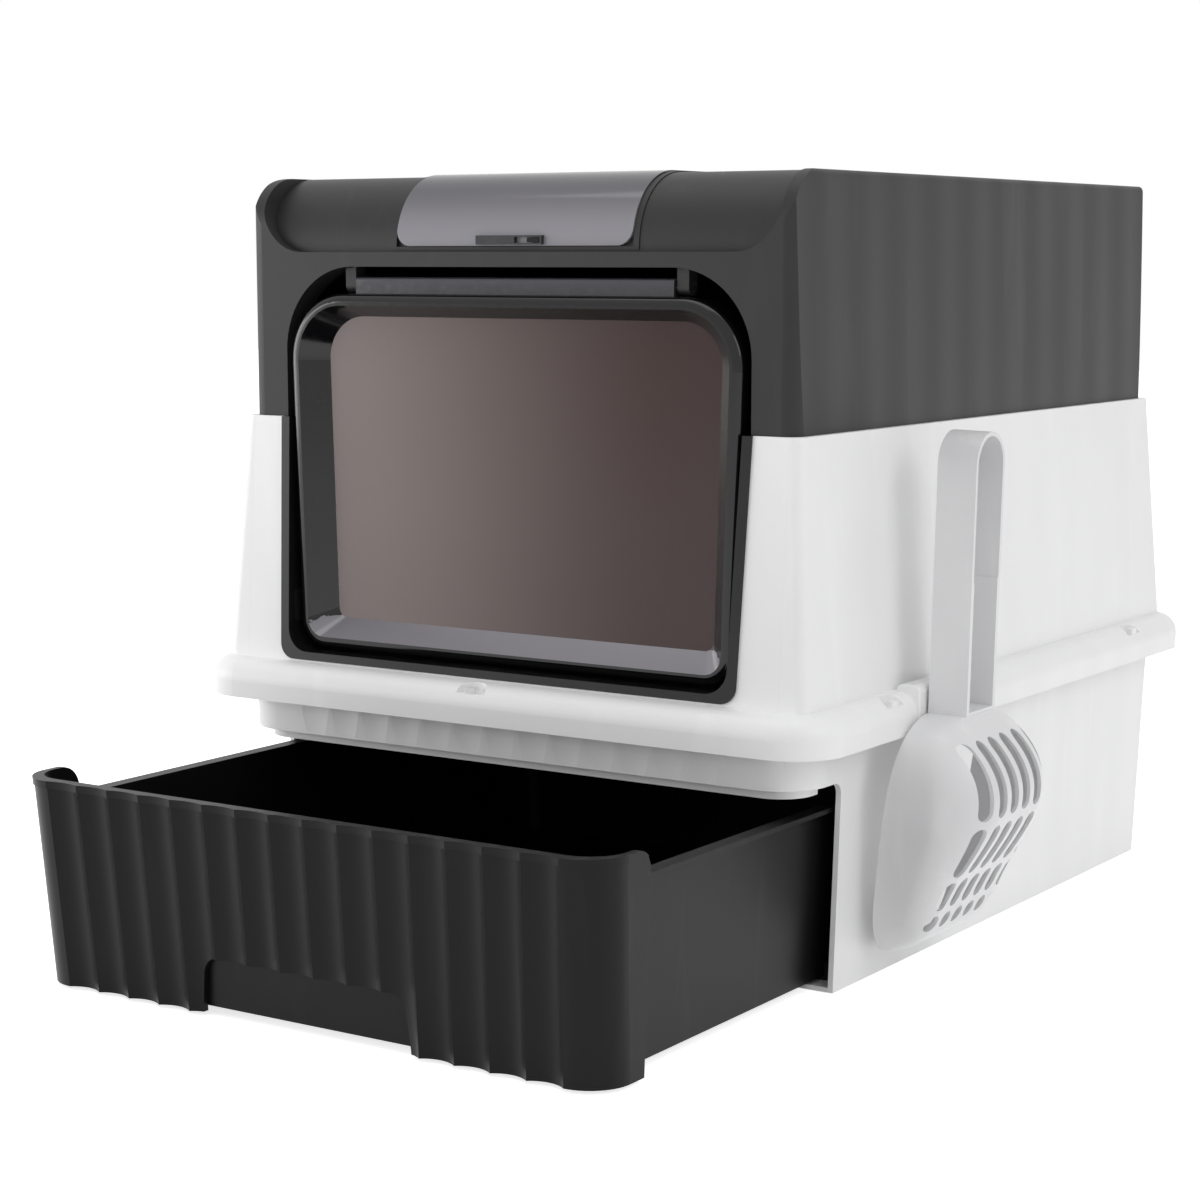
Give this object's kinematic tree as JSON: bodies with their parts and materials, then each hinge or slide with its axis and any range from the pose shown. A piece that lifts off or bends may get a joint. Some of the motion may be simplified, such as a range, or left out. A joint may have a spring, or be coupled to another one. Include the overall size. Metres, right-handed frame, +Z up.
{
  "type": "drawer litter box",
  "caption": "Enclosed litter box with a pull-out litter drawer, a swing door, a roof hatch and a scoop hung on its side.",
  "frame": {"origin": "centre of the base's footprint on the floor", "axes": "+X to the right seen from the front, +Y from the door towards the back, +Z up"},
  "size_m": [0.4521, 0.657, 0.4217],
  "materials": {
    "white_plastic": "satin moulded",
    "charcoal_plastic": "fine matt texture",
    "black_plastic": "satin moulded",
    "smoked_plastic": "polished, smoked",
    "soft_pads": "soft matt",
    "steel": "plated"
  },
  "bodies": {
    "base": {"base_shell": "white_plastic", "drawer_runners": "black_plastic"},
    "drawer": {"drawer_tub": "black_plastic", "drawer_front": "black_plastic", "drawer_front_rivets": "black_plastic"},
    "frame": {"mid_frame": "white_plastic", "frame_latch_clips": "white_plastic", "door_surround": "black_plastic", "door_catch_pads": "soft_pads", "scoop_holder": "white_plastic"},
    "hood": {"hood_shell": "charcoal_plastic", "hatch_seat": "charcoal_plastic", "door_hinge_brackets": "charcoal_plastic", "door_bracket_screws": "steel"},
    "door": {"door_leaf": "smoked_plastic", "door_hinge_rail": "smoked_plastic", "door_hinge_pins": "steel"},
    "hatch": {"roof_hatch": "smoked_plastic", "hatch_finger_tab": "smoked_plastic", "hatch_hinge_pins": "steel"},
    "catch": {"hatch_catch": "black_plastic"},
    "scoop": {"scoop_bowl": "white_plastic", "scoop_handle": "white_plastic"}
  },
  "joints": [
    {"name": "frame_lift", "type": "slide", "parent": "base", "child": "frame", "axis": [0, 0, 1], "range_m": [0, 0.12]},
    {"name": "hood_lift", "type": "slide", "parent": "frame", "child": "hood", "axis": [0, 0, 1], "range_m": [0, 0.15]},
    {"name": "door_swing", "type": "hinge", "parent": "hood", "child": "door", "pos_m": [0, -0.2146, 0.362], "axis": [-1, 0, 0], "range_deg": [-90, 75]},
    {"name": "hatch_swing", "type": "hinge", "parent": "hood", "child": "hatch", "pos_m": [0, -0.082, 0.4184], "axis": [-1, 0, 0], "range_deg": [0, 95]},
    {"name": "hatch_catch_slide", "type": "slide", "parent": "hatch", "child": "catch", "axis": [1, 0, 0], "range_m": [-0.0075, 0]},
    {"name": "drawer_slide", "type": "slide", "parent": "base", "child": "drawer", "axis": [0, -1, 0], "range_m": [-0.178, 0.16]},
    {"name": "scoop_lift", "type": "slide", "parent": "frame", "child": "scoop", "axis": [0.7071, 0, 0.7071], "range_m": [0, 0.12]}
  ]
}
